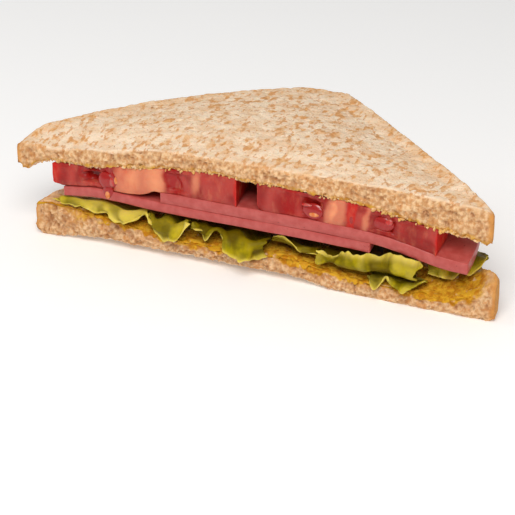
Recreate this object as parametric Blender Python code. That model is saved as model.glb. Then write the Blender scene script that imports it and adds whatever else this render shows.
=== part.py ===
"""Half of a polony and tomato sandwich: two soft brown bread slices with lettuce, polony and tomato.

The sandwich was cut from corner to corner. X runs along the cut face, Y runs back from the cut to
the crust corner, and Z points up from the table. Every filling is a solid of its own. The heights
are stacked from the table up: bottom slice, lettuce, polony, tomato, top slice.
"""

import math

import bmesh
import bpy
import mathutils
import numpy as np

MM = 0.001

BREAD_COLOUR = (0.77, 0.59, 0.41)
POLONY_COLOUR = (0.70, 0.30, 0.32)
TOMATO_COLOUR = (0.62, 0.06, 0.04)
LETTUCE_COLOUR = (0.30, 0.42, 0.06)

# Bread: a square slice, about 112 mm a side, cut from corner to corner. Its corners are arcs,
# given as (x, y, radius): the base corner on the right, then the two crown corners.
TOP_CORNERS = MM * np.array([(70.8, 0.5, 6.6), (0.0, 54.6, 17.5), (-58.3, 4.4, 14.0)])
BOTTOM_CORNERS = MM * np.array([(73.6, 3.0, 5.7), (3.6, 58.6, 17.5), (-53.8, 5.0, 13.0)])
TIP_LEAN = math.radians(10)
ARC_STEPS = (7, 9, 8)
SIDE_STEPS = 11
CROWN_SWELL = 1.6 * MM
CORNER_BLEND = 6 * MM
CRUST_SHOULDER = 1.9 * MM
CUT_EDGE = 0.8 * MM
CRUMB_RELIEF, CRUMB_SCALE, CRUMB_HEIGHT = 0.45 * MM, 7 * MM, 9 * MM
SLICE_DEPTH = 73 * MM

# Heights along the cut face, as x and z pairs. The slices are squeezed thin between their crusts.
TOP_UPPER = MM * np.array([
    (-73, 29.4), (-58, 29.6), (-45, 31.1), (-32, 33.4), (-18, 34.9), (0, 35.2), (25, 35.2),
    (46, 35.1), (60, 34.6), (70, 34.0), (78, 33.6),
])
TOP_LOWER = MM * np.array([
    (-73, 21.6), (-69, 21.4), (-64, 24.4), (-50, 25.3), (-43, 26.1), (-38, 27.2), (-30, 27.9),
    (-20, 29.4), (-12, 30.2), (0, 30.1), (20, 29.5), (40, 28.5), (52, 26.5), (64, 25.2),
    (73, 24.0), (78, 22.7),
])
BOTTOM_UPPER = MM * np.array([
    (-69, 10.4), (-64, 11.6), (-50, 11.0), (-42, 9.7), (-33, 8.8), (-20, 7.7), (8, 7.6),
    (16, 8.6), (26, 7.3), (38, 5.9), (50, 5.2), (62, 5.0), (70, 6.4), (75, 9.4), (78, 12.4),
    (81, 14.2),
])
LEFT_TIP_HEIGHT = 30.2 * MM
RIGHT_TIP_HEIGHT = 34.0 * MM
APEX_HEIGHT = 32.4 * MM
LEFT_EDGE_RISE = 2.6 * MM
CENTRE_RISE = 2.2 * MM
FRONT_RISE = 3.4 * MM
EDGE_ROLL = 13 * MM
# Thickness inside the slice and at its crust, and the width of the thicker rim.
TOP_THICKNESS, TOP_RIM, TOP_RIM_WIDTH = 7 * MM, 10.6 * MM, 13 * MM
BOTTOM_THICKNESS, BOTTOM_RIM, BOTTOM_RIM_WIDTH = 9.3 * MM, 12.8 * MM, 9 * MM
# The right tip of the bottom slice curls up behind the cut.
TIP_CURL, CURL_FROM, CURL_WIDTH = 7.5 * MM, 72 * MM, 6 * MM
FRONT_LIFT = 2.2 * MM
LIFT_FROM, LIFT_TO, LIFT_DEPTH = -64 * MM, 34 * MM, 16 * MM
LIFT_STEEPNESS = 2.6

# Polony: two slices, each cut by the knife, the upper one laid to the right of the lower.
POLONY_THICKNESS = 2.95 * MM
POLONY_LOWER_X = (-56.5 * MM, 42 * MM)
POLONY_UPPER_X = (-24 * MM, 70.9 * MM)
POLONY_DEPTH = 37 * MM
POLONY_ROUNDNESS = 2.4
POLONY_BEHIND = (0, 5 * MM)
RIND_ROUNDING, POLONY_EDGE = 0.6 * MM, 0.25 * MM
POLONY_LOWER_BASE = MM * np.array([
    (-58, 14.5), (-52, 15.2), (-45, 16.0), (-37, 15.6), (-24, 15.1), (0, 15.0), (20, 15.0),
    (44, 14.6),
])
POLONY_UPPER_BASE = MM * np.array([
    (-26, 18.5), (0, 18.5), (20, 18.5), (30, 18.4), (42, 18.0), (50, 17.0), (56, 15.8), (61, 14.7),
    (66, 14.1), (73, 13.9),
])
POLONY_LOWER_BACK = 15.2 * MM
POLONY_UPPER_BACK = 18.6 * MM
POLONY_SAG, SAG_FROM, SAG_WIDTH = 1.3 * MM, 44 * MM, 16 * MM
DROOP_DEPTH = 15 * MM

# Tomato: thick slices, two of them cut by the knife and one whole in the crust corner.
TOMATO_LEFT_X = (-60 * MM, 0.8 * MM)
TOMATO_RIGHT_X = (7.2 * MM, 61.6 * MM)
TOMATO_DEPTH = 31 * MM
TOMATO_ROUNDNESS = 2.1
TOMATO_BEHIND = (1.5 * MM, 6 * MM)
TOMATO_BACK_RADIUS = 18.5 * MM
TOMATO_BACK_CENTRE = (3 * MM, 42 * MM)
TOMATO_OVERHANG_BASE = 16.4 * MM
TOMATO_LEAN, LEAN_FROM, LEAN_WIDTH = 0.8 * MM, -38 * MM, 12 * MM
# The tomato steps up onto a slice of polony just before its end: how far before, and how gently.
ONTO_UPPER, ONTO_LOWER = (6.4 * MM, 4 * MM), (3.6 * MM, 2 * MM)
SKIN_ROUNDING, TOMATO_EDGE = 1.6 * MM, 0.4 * MM
CHAMBER_SHARE = 0.56

# Seed chambers of the tomato that the knife opened: place along the cut, half width and depth.
LEFT_CAVITIES = ((-46.2, 4.2, 3.0), (-19, 4.4, 1.6))
RIGHT_CAVITIES = ((17, 3.6, 1.2), (24.2, 3.8, 2.2), (46.2, 3.6, 2.2))

# The layers keep a small gap, so that no two solids touch.
LAYER_GAP = 0.45 * MM

# Lettuce: torn leaves side by side on the bottom slice. Each margin is a few (y, z) places in mm,
# spread evenly over the leaf's width at the cut, or at the crust for the two leaves at the back.
LEAF_THICKNESS = 0.8 * MM
LEAF_CLEARANCE = 0.9 * MM
LEAF_STEPS = (20, 8)
# Shares of a leaf's length where its margin, belly, turn and hidden end lie.
LEAF_PLACES = np.array([0, 0.22, 0.42, 1.0])
LEAF_FOLD, LEAF_CRINKLE, CRINKLE_SCALE = 0.36, 0.2, 11 * MM
FOOT_DEPTH, FOOT_EASE = 4.5 * MM, 3 * MM
LEAVES = {
    "lettuce_left": dict(
        front_x=(-60.5, -29.5), back_x=(-46, -28), reach=(13, 21), turn=(0.16, 13), folds=1.5,
        margin=[(0.4, 12.4), (-0.8, 12.2), (-1.0, 11.9), (-1.2, 11.4), (-2.8, 9.6), (0.8, 12.6)],
    ),
    "lettuce_curl": dict(
        front_x=(-27.6, -15.8), back_x=(-26.5, -16), reach=(20, 21), turn=(0.18, 12), folds=1.2,
        margin=[(0.4, 13.4), (-2.8, 10.0), (-3.9, 7.8), (-3.9, 7.5), (-3.2, 8.8), (0.2, 13.0)],
    ),
    "lettuce_frill": dict(
        front_x=(-13.6, 10.0), back_x=(-14.5, 9.6), reach=(21, 23), turn=(0.16, 12.8), folds=2,
        margin=[(0.6, 12.6), (-1.4, 9.8), (0.4, 12.2), (-2.4, 8.6), (-3.6, 6.4), (-3.4, 6.5),
                (-1.6, 8.4)],
    ),
    "lettuce_dark": dict(
        front_x=(11.6, 26.0), back_x=(11, 25), reach=(22, 22), turn=(0.16, 11.6), folds=1,
        margin=[(0.8, 13.4), (0.3, 12.6), (0.2, 10.6), (0.4, 10.8)],
    ),
    "lettuce_large": dict(
        front_x=(27.4, 57.5), back_x=(27, 50), reach=(22, 17), turn=(0.03, 9.8), folds=1.5,
        margin=[(0.8, 11.0), (0.0, 13.6), (-0.2, 14.1), (0.2, 15.0), (0.8, 14.2)],
        bulge=2.0, lift=3.0,
    ),
    "lettuce_edge": dict(
        front_x=(41.4, 58.4), back_x=(43, 56.6), reach=(3.4, 4.4), turn=(0.7, 7.4), folds=0,
        margin=[(0.4, 6.9), (-2.0, 5.4), (-0.2, 7.2), (-2.0, 5.9), (-2.4, 5.3), (-1.4, 6.4),
                (1.8, 8.4)],
        room=0.1,
    ),
    "lettuce_right": dict(
        front_x=(58.8, 71.5), back_x=(52.5, 68), reach=(25, 20.5), turn=(0.35, 13.6), folds=1,
        margin=[(7.0, 9.9), (7.4, 10.0), (8.2, 10.6), (9.0, 11.9)],
    ),
    "lettuce_back_left": dict(
        front_x=(-57, -12), back_x=(-44, -8), reach=(24, 40), turn=(0.3, 12), folds=3, rise=5,
        margin=[(19, 15), (25, 17.5), (32, 14.5), (40, 18.5), (46, 15), (53, 18.5), (60, 15.5)],
    ),
    "lettuce_back_right": dict(
        front_x=(56, 3), back_x=(43, 7), reach=(27, 45), turn=(0.3, 12), folds=3, rise=5,
        margin=[(28, 14), (36, 15), (44, 14), (53, 18), (60, 15), (66, 18.5), (70, 15.5)],
    ),
}


def smooth(t):
    """The cubic ease from 0 to 1, flat at both ends."""
    t = np.clip(t, 0, 1)
    return t * t * (3 - 2 * t)


def along(points, x):
    """Heights at x on a smooth curve through points, a cubic with the slopes of its neighbours."""
    px, pz = points[:, 0], points[:, 1]
    slope = np.gradient(pz, px)
    x = np.clip(x, px[0], px[-1])
    k = np.clip(np.searchsorted(px, x) - 1, 0, len(px) - 2)
    h = px[k + 1] - px[k]
    t = (x - px[k]) / h
    return (
        (2 * t**3 - 3 * t**2 + 1) * pz[k]
        + (t**3 - 2 * t**2 + t) * h * slope[k]
        + (3 * t**2 - 2 * t**3) * pz[k + 1]
        + (t**3 - t**2) * h * slope[k + 1]
    )


def ripple(x, z, scale, seed):
    """Uneven relief from -1 to 1: a sum of waves with seeded directions and phases."""
    rng = np.random.default_rng(seed)
    total = 0
    for turn, phase, stretch in rng.uniform((0, 0, 0.6), (math.pi, 2 * math.pi, 1.7), (7, 3)):
        wave = (x * math.cos(turn) + z * math.sin(turn)) * 2 * math.pi * stretch / scale
        total = total + np.sin(wave + phase)
    return np.clip(total / 3, -1, 1)


# --- Bread ------------------------------------------------------------------------------------


def arc(centre, radius, start, end, steps):
    """Points on an arc about centre, angles in degrees."""
    angle = np.radians(np.linspace(start, end, steps))
    return np.stack([centre[0] + radius * np.cos(angle), centre[1] + radius * np.sin(angle)], 1)


def slice_outline(corners):
    """The crust of a half slice from its right tip, round the crust corner, to its left tip.

    Each side touches its two corner arcs. The crown, the second side, swells a little.
    """
    normals = []
    for (x, y, radius), (next_x, next_y, next_radius) in zip(corners[:-1], corners[1:]):
        heading = math.atan2(next_y - y, next_x - x)
        taper = (radius - next_radius) / math.hypot(next_x - x, next_y - y)
        normals.append(math.degrees(heading - math.acos(taper)) % 360)
    first, last = [math.degrees(min(TIP_LEAN, math.asin(y / r))) for _, y, r in corners[[0, -1]]]
    ends = [-first, *normals, 180 + last]
    arcs = [arc(c[:2], c[2], ends[k], ends[k + 1], ARC_STEPS[k]) for k, c in enumerate(corners)]
    share = np.linspace(0, 1, SIDE_STEPS + 2)[1:-1, None]
    side = arcs[0][-1] + (arcs[1][0] - arcs[0][-1]) * share
    outwards = np.array([math.cos(math.radians(normals[1])), math.sin(math.radians(normals[1]))])
    crown = arcs[1][-1] + (arcs[2][0] - arcs[1][-1]) * share
    crown = crown + outwards * CROWN_SWELL * np.sin(math.pi * share)
    outline = np.concatenate([arcs[0], side, arcs[1], crown, arcs[2]])
    if outline[0, 1] > 0.1 * MM:
        outline = np.concatenate([outline[:1] * (1, 0), outline])
    if outline[-1, 1] > 0.1 * MM:
        outline = np.concatenate([outline, outline[-1:] * (1, 0)])
    outline[[0, -1], 1] = 0
    return outline


def cut_line(outline, evenness=0.15):
    """Points on the cut, one for each point of the outline, from tip to tip.

    They lie below the outline's points, or evenly spread where evenness is 1.
    """
    x = outline[:, 0]
    share = (x.max() - np.maximum.accumulate(x[::-1])[::-1]) / (x.max() - x.min())
    share = (1 - evenness) * share + evenness * np.linspace(0, 1, len(x))
    share = (share - share[0]) / (share[-1] - share[0])
    return np.stack([x[0] + (x[-1] - x[0]) * share, 0 * x], 1)


def from_crust(x, y, corners):
    """Distance in from the two crusts, with the corner between them softened."""
    apex_x, apex_y, radius = corners[1]
    right = radius - ((x - apex_x) + (y - apex_y)) / math.sqrt(2)
    left = radius - ((apex_x - x) + (y - apex_y)) / math.sqrt(2)
    return -CORNER_BLEND * np.log(np.exp(-right / CORNER_BLEND) + np.exp(-left / CORNER_BLEND))


def top_upper(x, y):
    """The top slice's upper face: a drape over the fillings that sinks to its three corners.

    left, right and depth are the shares of the left tip, the right tip and the crust corner.
    4ab is 1 halfway between two of them, and 27abc is 1 in the middle of all three.
    """
    depth = np.clip(y / SLICE_DEPTH, 0, 1)
    right = np.clip((x / SLICE_DEPTH + 1 - depth) / 2, 0, 1)
    left = np.clip(1 - depth - right, 0, 1)
    drape = LEFT_TIP_HEIGHT * left + RIGHT_TIP_HEIGHT * right + APEX_HEIGHT * depth
    drape = drape + 4 * LEFT_EDGE_RISE * left * depth + 27 * CENTRE_RISE * left * right * depth
    drape = drape + 4 * FRONT_RISE * left * right
    ease = smooth(y / EDGE_ROLL)
    return along(TOP_UPPER, x) * (1 - ease) + drape * ease


def top_lower(x, y):
    """The top slice's lower face: thin over the fillings, as thick as the crust at the rim."""
    rim = 1 - smooth(from_crust(x, y, TOP_CORNERS) / TOP_RIM_WIDTH)
    inside = top_upper(x, y) - TOP_THICKNESS - (TOP_RIM - TOP_THICKNESS) * rim
    ease = smooth(y / EDGE_ROLL)
    return along(TOP_LOWER, x) * (1 - ease) + inside * ease


def bottom_upper(x, y):
    """The bottom slice's upper face: pressed down by the fillings, proud at the crusts."""
    rim = 1 - smooth(from_crust(x, y, BOTTOM_CORNERS) / BOTTOM_RIM_WIDTH)
    inside = BOTTOM_THICKNESS + (BOTTOM_RIM - BOTTOM_THICKNESS) * rim
    inside = inside + TIP_CURL * smooth((x - CURL_FROM) / CURL_WIDTH)
    ease = smooth(y / EDGE_ROLL)
    return along(BOTTOM_UPPER, x) * (1 - ease) + inside * ease


def bottom_lower(x, y):
    """The table face: flat, apart from the cut edge, which curls up a little on the left."""
    middle, reach = (LIFT_FROM + LIFT_TO) / 2, (LIFT_TO - LIFT_FROM) / 2
    bow = smooth(LIFT_STEEPNESS * (1 - np.abs(x - middle) / reach))
    return FRONT_LIFT * bow * (1 - smooth(y / LIFT_DEPTH))


# --- Polony and tomato ------------------------------------------------------------------------


def half_round(x_span, depth, roundness, behind, steps):
    """The rim of a round slice cut by the knife, from right to left.

    It is a superellipse, whose widest place lies behind the cut by the given distance.
    """
    reach = depth - behind
    narrowing = (1 - (behind / reach) ** roundness) ** (1 / roundness)
    half = (x_span[1] - x_span[0]) / 2 / narrowing
    first = math.asin((behind / reach) ** (roundness / 2))
    angle = np.linspace(-first, math.pi + first, steps)
    x = half * np.sign(np.cos(angle)) * np.abs(np.cos(angle)) ** (2 / roundness)
    y = behind + reach * np.sign(np.sin(angle)) * np.abs(np.sin(angle)) ** (2 / roundness)
    rim = np.stack([x + (x_span[0] + x_span[1]) / 2, y], 1)
    rim[[0, -1], 1] = 0
    return rim


def polony_lower_base(x, y):
    """The lower polony slice's underside, level behind the cut."""
    ease = smooth(y / DROOP_DEPTH)
    return along(POLONY_LOWER_BASE, x) * (1 - ease) + POLONY_LOWER_BACK * ease


def polony_upper_base(x, y):
    """The upper polony slice's underside: it droops over the lettuce at its front right end."""
    ease = smooth(y / DROOP_DEPTH)
    back = POLONY_UPPER_BACK - POLONY_SAG * smooth((x - SAG_FROM) / SAG_WIDTH)
    return along(POLONY_UPPER_BASE, x) * (1 - ease) + back * ease


def tomato_base(x, y):
    """What the tomato lies on: the upper polony, then the lower, then nothing at the far left."""
    upper = polony_upper_base(x, y) + POLONY_THICKNESS
    lower = polony_lower_base(x, y) + POLONY_THICKNESS + LAYER_GAP
    lower = lower + TOMATO_LEAN * smooth((x - LEAN_FROM) / LEAN_WIDTH)
    on_upper = smooth((x - POLONY_UPPER_X[0] + ONTO_UPPER[0]) / ONTO_UPPER[1])
    on_lower = smooth((x - POLONY_LOWER_X[0] + ONTO_LOWER[0]) / ONTO_LOWER[1])
    left = TOMATO_OVERHANG_BASE * (1 - on_lower) + lower * on_lower
    return left * (1 - on_upper) + upper * on_upper + LAYER_GAP


def tomato_top(x, y):
    """The tomato fills its layer up to the top slice."""
    return top_lower(x, y) - 1.5 * LAYER_GAP


# --- Solids -----------------------------------------------------------------------------------


def add_object(name, points, faces, colour, roughness):
    """One closed mesh as an object with its own material."""
    mesh = bpy.data.meshes.new(name)
    mesh.from_pydata(points.tolist(), [], faces.tolist())
    material = bpy.data.materials.new(name)
    material.use_nodes = True
    shader = material.node_tree.nodes["Principled BSDF"]
    shader.inputs["Base Color"].default_value = (*colour, 1)
    shader.inputs["Roughness"].default_value = roughness
    mesh.materials.append(material)
    weld(mesh)
    mesh.shade_smooth()
    mesh.set_sharp_from_angle(angle=math.radians(40))
    obj = bpy.data.objects.new(name, mesh)
    bpy.context.scene.collection.objects.link(obj)
    return obj


def weld(mesh):
    """Merges the points that meet at the tips, and turns every face outwards."""
    work = bmesh.new()
    work.from_mesh(mesh)
    bmesh.ops.remove_doubles(work, verts=work.verts, dist=1e-7)
    bmesh.ops.dissolve_degenerate(work, edges=work.edges, dist=1e-7)
    bmesh.ops.recalc_face_normals(work, faces=work.faces)
    bmesh.ops.triangulate(work, faces=work.faces)
    work.to_mesh(mesh)
    work.free()


def ring_faces(columns, rows):
    """Quads of a tube: rows points round it, columns rings along it."""
    c, r = np.meshgrid(np.arange(columns - 1), np.arange(rows), indexing="ij")
    after = (r + 1) % rows
    quads = [c * rows + r, c * rows + after, (c + 1) * rows + after, (c + 1) * rows + r]
    return np.stack(quads, -1).reshape(-1, 4)


def slab(back, front, upper, lower, levels, across, back_edge, front_edge=0.0, carve=None):
    """A slab between two height fields, as rings from one tip to the other.

    Each ring runs over the upper face, down the back wall, under the lower face and up the front
    wall. A wall bulges as a superellipse between its edges, which lie back_edge or front_edge in
    from the outline. carve moves the front wall inwards.
    """
    span = back - front
    length = np.linalg.norm(span, axis=1)
    safe = np.maximum(length, 1e-9)[:, None]

    def at(share):
        return front[:, None, :] + span[:, None, :] * share[:, :, None]

    def inset(edge, level):
        bulge = 1 - (1 - np.abs(2 * level - 1) ** 3) ** (1 / 3)
        return np.minimum(edge, 0.35 * length)[:, None] * bulge[None, :] / safe

    level = 0.5 + 0.5 * np.cos(np.linspace(0, math.pi, levels + 2))
    near = inset(front_edge, np.ones(1))
    far = 1 - inset(back_edge, np.ones(1))
    face = at(near + (far - near) * np.linspace(0, 1, across)[None, :] ** 1.15)
    top_z = upper(face[..., 0], face[..., 1])
    low_z = lower(face[..., 0], face[..., 1])
    wall_back = at(1 - inset(back_edge, level[1:-1]))
    wall_front = at(inset(front_edge, level[1:-1]))
    back_z = low_z[:, -1:] + (top_z[:, -1:] - low_z[:, -1:]) * level[None, 1:-1]
    front_z = low_z[:, :1] + (top_z[:, :1] - low_z[:, :1]) * level[None, 1:-1]
    if carve:
        grow = smooth(length / (6 * MM))[:, None]
        wall_front[..., 1] += carve(wall_front[..., 0], level[None, 1:-1]) * grow
    rings = np.concatenate([
        np.dstack([face, top_z]),
        np.dstack([wall_back, back_z]),
        np.dstack([face, low_z])[:, ::-1],
        np.dstack([wall_front, front_z])[:, ::-1],
    ], axis=1)
    columns, rows = rings.shape[:2]
    return rings.reshape(-1, 3), ring_faces(columns, rows)


def leaf_solid(sheet):
    """A thin wavy solid: the sheet's grid offset both ways along its normals, closed at its rim."""
    along_u = np.gradient(sheet, axis=0)
    along_v = np.gradient(sheet, axis=1)
    normal = np.cross(along_u, along_v)
    normal /= np.linalg.norm(normal, axis=2, keepdims=True)
    rows, cols = sheet.shape[:2]
    ids = np.arange(rows * cols).reshape(rows, cols)
    a, b, c, d = ids[:-1, :-1], ids[1:, :-1], ids[1:, 1:], ids[:-1, 1:]
    one = np.stack([a, b, c, a, c, d], -1).reshape(-1, 3)
    rim = np.concatenate([ids[:, 0], ids[-1, 1:], ids[-2::-1, -1], ids[0, -2:0:-1]])
    after = np.roll(rim, -1)
    count = rows * cols
    wall = np.concatenate([
        np.stack([rim, rim + count, after], 1),
        np.stack([after, rim + count, after + count], 1),
    ])
    up = sheet + normal * LEAF_THICKNESS / 2
    down = sheet - normal * LEAF_THICKNESS / 2
    points = np.concatenate([up.reshape(-1, 3), down.reshape(-1, 3)])
    return points, np.concatenate([one, one[:, ::-1] + count, wall])


# --- Lettuce ----------------------------------------------------------------------------------


def lettuce_floor(x, y):
    """The lowest place of a leaf's middle surface over the bottom slice."""
    return bottom_upper(x, np.maximum(y, 0)) + LEAF_CLEARANCE


def lettuce_ceiling(x, y):
    """The room above the lettuce: under the polony where there is some, else under the bread."""
    y = np.maximum(y, 0)
    past = smooth((x - POLONY_LOWER_X[1]) / (2 * MM))
    under = polony_lower_base(x, y) * (1 - past) + polony_upper_base(x, y) * past
    return under - LEAF_CLEARANCE


def spread_values(values, u):
    """A few values spread evenly over 0 to 1, joined by a smooth curve and read at u."""
    values = np.asarray(values, float)
    return along(np.stack([np.linspace(0, 1, len(values)), values], 1), u)


def cross_curves(at, rows, v):
    """Smooth curves across rows of values, one curve for each column, read at every v."""
    return np.array([along(np.stack([at, column], 1), v) for column in np.array(rows).T])


def leaf_sheet(front_x, back_x, margin, reach, turn, folds, bulge=0, lift=0, room=0.97, rise=0):
    """The middle surface of a lettuce leaf, from its margin to its hidden end.

    front_x and back_x are the leaf's width at its margin and at its hidden end, and reach is how
    far back that end lies, left and right. From the margin the leaf rises, bulges outwards, and
    turns in over the bread at turn, a share of its length and a height. Behind that it waves
    between bread and polony, folds waves across its width, within room, a share of that height.
    lift holds its foot up over another leaf, and rise lets its margin stand up beside the polony.
    """
    u = np.linspace(0, 1, LEAF_STEPS[0])
    v = np.linspace(0, 1, LEAF_STEPS[1])
    edge_y, edge_z = [spread_values(np.array(margin)[:, k], u) for k in (0, 1)]
    end_y = reach[0] + (reach[1] - reach[0]) * u
    turn_y = edge_y + (end_y - edge_y) * turn[0]
    turn_z = np.full_like(u, turn[1])
    belly_y = edge_y + 0.2 * (turn_y - edge_y) - bulge
    belly_z = edge_z + 0.6 * (turn_z - edge_z)
    Y = MM * cross_curves(LEAF_PLACES, [edge_y, belly_y, turn_y, end_y], v)
    Z = MM * cross_curves(LEAF_PLACES, [edge_z, belly_z, turn_z, turn_z], v)
    wide_x = MM * (front_x[0] + (front_x[1] - front_x[0]) * u)[:, None]
    end_x = MM * (back_x[0] + (back_x[1] - back_x[0]) * u)[:, None]
    X = wide_x + (end_x - wide_x) * v**1.3
    ceiling = lettuce_ceiling(X, Y)
    floor = lettuce_floor(X, Y) + lift * MM * (1 - smooth((Y - FOOT_DEPTH) / FOOT_EASE))
    wave = np.sin(2 * math.pi * folds * u[:, None] + 3 * v + front_x[0])
    crinkle = ripple(X, Y, CRINKLE_SCALE, int(abs(front_x[0])))
    share = 0.5 + LEAF_FOLD * wave + LEAF_CRINKLE * crinkle
    inner = floor + (ceiling - floor) * np.clip(share, 0.03, 0.97) * room
    behind = smooth((v - 0.3) / 0.25)
    Z = Z * (1 - behind) + inner * behind
    inside = smooth((Y - 0.2 * MM) / (1.2 * MM))
    top = np.maximum(ceiling, floor) + rise * MM * (1 - smooth(v / 0.2))
    Z = Z * (1 - inside) + np.clip(Z, floor, top) * inside
    return np.stack([X, Y, Z], -1)


# --- The sandwich -----------------------------------------------------------------------------


def build_bread():
    for name, corners, upper, lower, seed in (
        ("bread_top", TOP_CORNERS, top_upper, top_lower, 3),
        ("bread_bottom", BOTTOM_CORNERS, bottom_upper, bottom_lower, 8),
    ):
        def crumb(x, level, seed=seed):
            return CRUMB_RELIEF * ripple(x, level * CRUMB_HEIGHT, CRUMB_SCALE, seed)

        outline = slice_outline(corners)
        shape = slab(outline, cut_line(outline), upper, lower, 3, 9, CRUST_SHOULDER, CUT_EDGE, crumb)
        add_object(name, *shape, BREAD_COLOUR, 0.9)


def build_polony():
    for name, span, behind, base in (
        ("polony_lower", POLONY_LOWER_X, POLONY_BEHIND[0], polony_lower_base),
        ("polony_upper", POLONY_UPPER_X, POLONY_BEHIND[1], polony_upper_base),
    ):
        def top(x, y, base=base):
            return base(x, y) + POLONY_THICKNESS

        rim = half_round(span, POLONY_DEPTH, POLONY_ROUNDNESS, behind, 23)
        shape = slab(rim, cut_line(rim, 0.55), top, base, 2, 6, RIND_ROUNDING, POLONY_EDGE)
        add_object(name, *shape, POLONY_COLOUR, 0.45)


def build_tomato():
    for name, span, behind, cavities in (
        ("tomato_left", TOMATO_LEFT_X, TOMATO_BEHIND[0], LEFT_CAVITIES),
        ("tomato_right", TOMATO_RIGHT_X, TOMATO_BEHIND[1], RIGHT_CAVITIES),
    ):
        def chambers(x, level, cavities=cavities):
            return seed_cavities(x, level, cavities)

        rim = half_round(span, TOMATO_DEPTH, TOMATO_ROUNDNESS, behind, 25)
        shape = slab(rim, cut_line(rim, 0.55), tomato_top, tomato_base, 3, 6,
                     SKIN_ROUNDING, TOMATO_EDGE, chambers)
        add_object(name, *shape, TOMATO_COLOUR, 0.3)
    far = TOMATO_BACK_CENTRE + arc((0, 0), TOMATO_BACK_RADIUS, 0, 180, 17)
    near = TOMATO_BACK_CENTRE + arc((0, 0), TOMATO_BACK_RADIUS, 0, -180, 17)
    near[[0, -1]] = far[[0, -1]]
    shape = slab(far, near, tomato_top, tomato_base, 2, 6, SKIN_ROUNDING, SKIN_ROUNDING)
    add_object("tomato_back", *shape, TOMATO_COLOUR, 0.3)


def seed_cavities(x, level, cavities):
    """How far the cut face is hollowed at each seed chamber, given as (x, half width, depth)."""
    total = 0 * x
    for middle, half, depth in cavities:
        across = np.clip(1 - ((x - middle * MM) / (half * MM)) ** 2, 0, 1)
        tall = np.clip(1 - ((level - 0.5) / CHAMBER_SHARE) ** 4, 0, 1)
        total = total + depth * MM * across * tall
    return total


def build_lettuce():
    for name, leaf in LEAVES.items():
        add_object(name, *leaf_solid(leaf_sheet(**leaf)), LETTUCE_COLOUR, 0.5)


def stand_on_origin():
    """Moves everything so that the sandwich stands over the origin, its lowest points at z = 0."""
    objects = [obj for obj in bpy.data.objects if obj.type == "MESH"]
    points = np.concatenate([[tuple(v.co) for v in obj.data.vertices] for obj in objects])
    low, high = points.min(0), points.max(0)
    offset = np.array([-(low[0] + high[0]) / 2, -(low[1] + high[1]) / 2, -low[2]])
    for obj in objects:
        obj.data.transform(mathutils.Matrix.Translation(offset))


for old in list(bpy.data.objects):
    bpy.data.objects.remove(old, do_unlink=True)
build_bread()
build_polony()
build_tomato()
build_lettuce()
stand_on_origin()
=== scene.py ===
"""The looks of half a polony and tomato sandwich, cut from corner to corner.

Shapes are worked out in millimetres in the frame of the cut: x runs along the cut face, y runs back
from it to the crust corner, and z is the height over the table.
"""

import itertools
import math
import bmesh
import bpy
import numpy as np
from mathutils import Matrix, Vector


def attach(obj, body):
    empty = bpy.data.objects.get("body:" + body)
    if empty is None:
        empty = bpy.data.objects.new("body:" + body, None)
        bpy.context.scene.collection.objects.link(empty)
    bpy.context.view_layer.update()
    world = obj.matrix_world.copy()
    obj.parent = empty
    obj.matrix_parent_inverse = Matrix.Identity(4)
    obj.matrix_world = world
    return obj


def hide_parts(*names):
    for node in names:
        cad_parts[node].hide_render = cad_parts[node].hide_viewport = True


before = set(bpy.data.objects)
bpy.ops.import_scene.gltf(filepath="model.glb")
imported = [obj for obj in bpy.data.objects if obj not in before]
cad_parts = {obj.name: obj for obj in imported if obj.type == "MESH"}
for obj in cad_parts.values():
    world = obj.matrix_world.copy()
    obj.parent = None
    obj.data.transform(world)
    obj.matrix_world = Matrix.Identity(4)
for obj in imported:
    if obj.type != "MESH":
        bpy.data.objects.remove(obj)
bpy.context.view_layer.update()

# --- Bread ------------------------------------------------------------------------------------
# Two half slices of soft brown tin loaf. The faces are close, pale crumb with flecks of bran, the
# knife's cut is open and torn, with painted shade in its pores, and the two outer sides are a thin golden
# crust.

# CUT_MIDDLE is where the frame of the cut has its origin, as a place in the part's own frame.
MM = 0.001
CUT_MIDDLE = np.array([-3.503, -35.848, 0.0])
BREAD_GRID = 0.45
CRUST_DEPTH = (0.4, 1.9)
SHOULDER_DEPTH, SHOULDER_DROP = 2.8, 1.3
BIG_PORE, FINE_PORE = 1.9, 1.0
PORE_DEPTH, TORN_DEPTH = 0.8, 0.32
CRUMB_PALE = (0.82, 0.58, 0.38)
CRUMB_CREAM = (0.90, 0.71, 0.52)
CRUMB_CUT = (0.55, 0.28, 0.115)
CRUMB_LIGHT = (0.82, 0.55, 0.31)
# The next colour is painted shade in the pores.
CRUMB_PORE_SHADE = (0.34, 0.135, 0.05)
BRAN_GOLD = (0.74, 0.37, 0.12)
BRAN = (0.60, 0.25, 0.07)
BRAN_DARK = (0.28, 0.10, 0.035)
CRUST_GOLD = (0.66, 0.31, 0.085)
CRUST_BROWN = (0.50, 0.20, 0.05)
STAIN_YELLOW = (0.68, 0.36, 0.02)
STAIN_DEEP = (0.48, 0.185, 0.005)

# Larger holes that the knife opened, and a crack: place along the cut, height, half width, half height.
TOP_HOLES = [(42, 34.4, 3.2, 0.8), (-30.5, 33.4, 2.6, 0.7), (12, 32.4, 1.6, 0.7), (58, 29.6, 1.2, 1.4)]
BOTTOM_HOLES = [(37.6, 2.5, 0.45, 3.6), (-62, 4.5, 1.3, 1.8), (-57, 6.5, 1.1, 1.7), (72.5, 6.0, 1.6, 1.5)]

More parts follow.
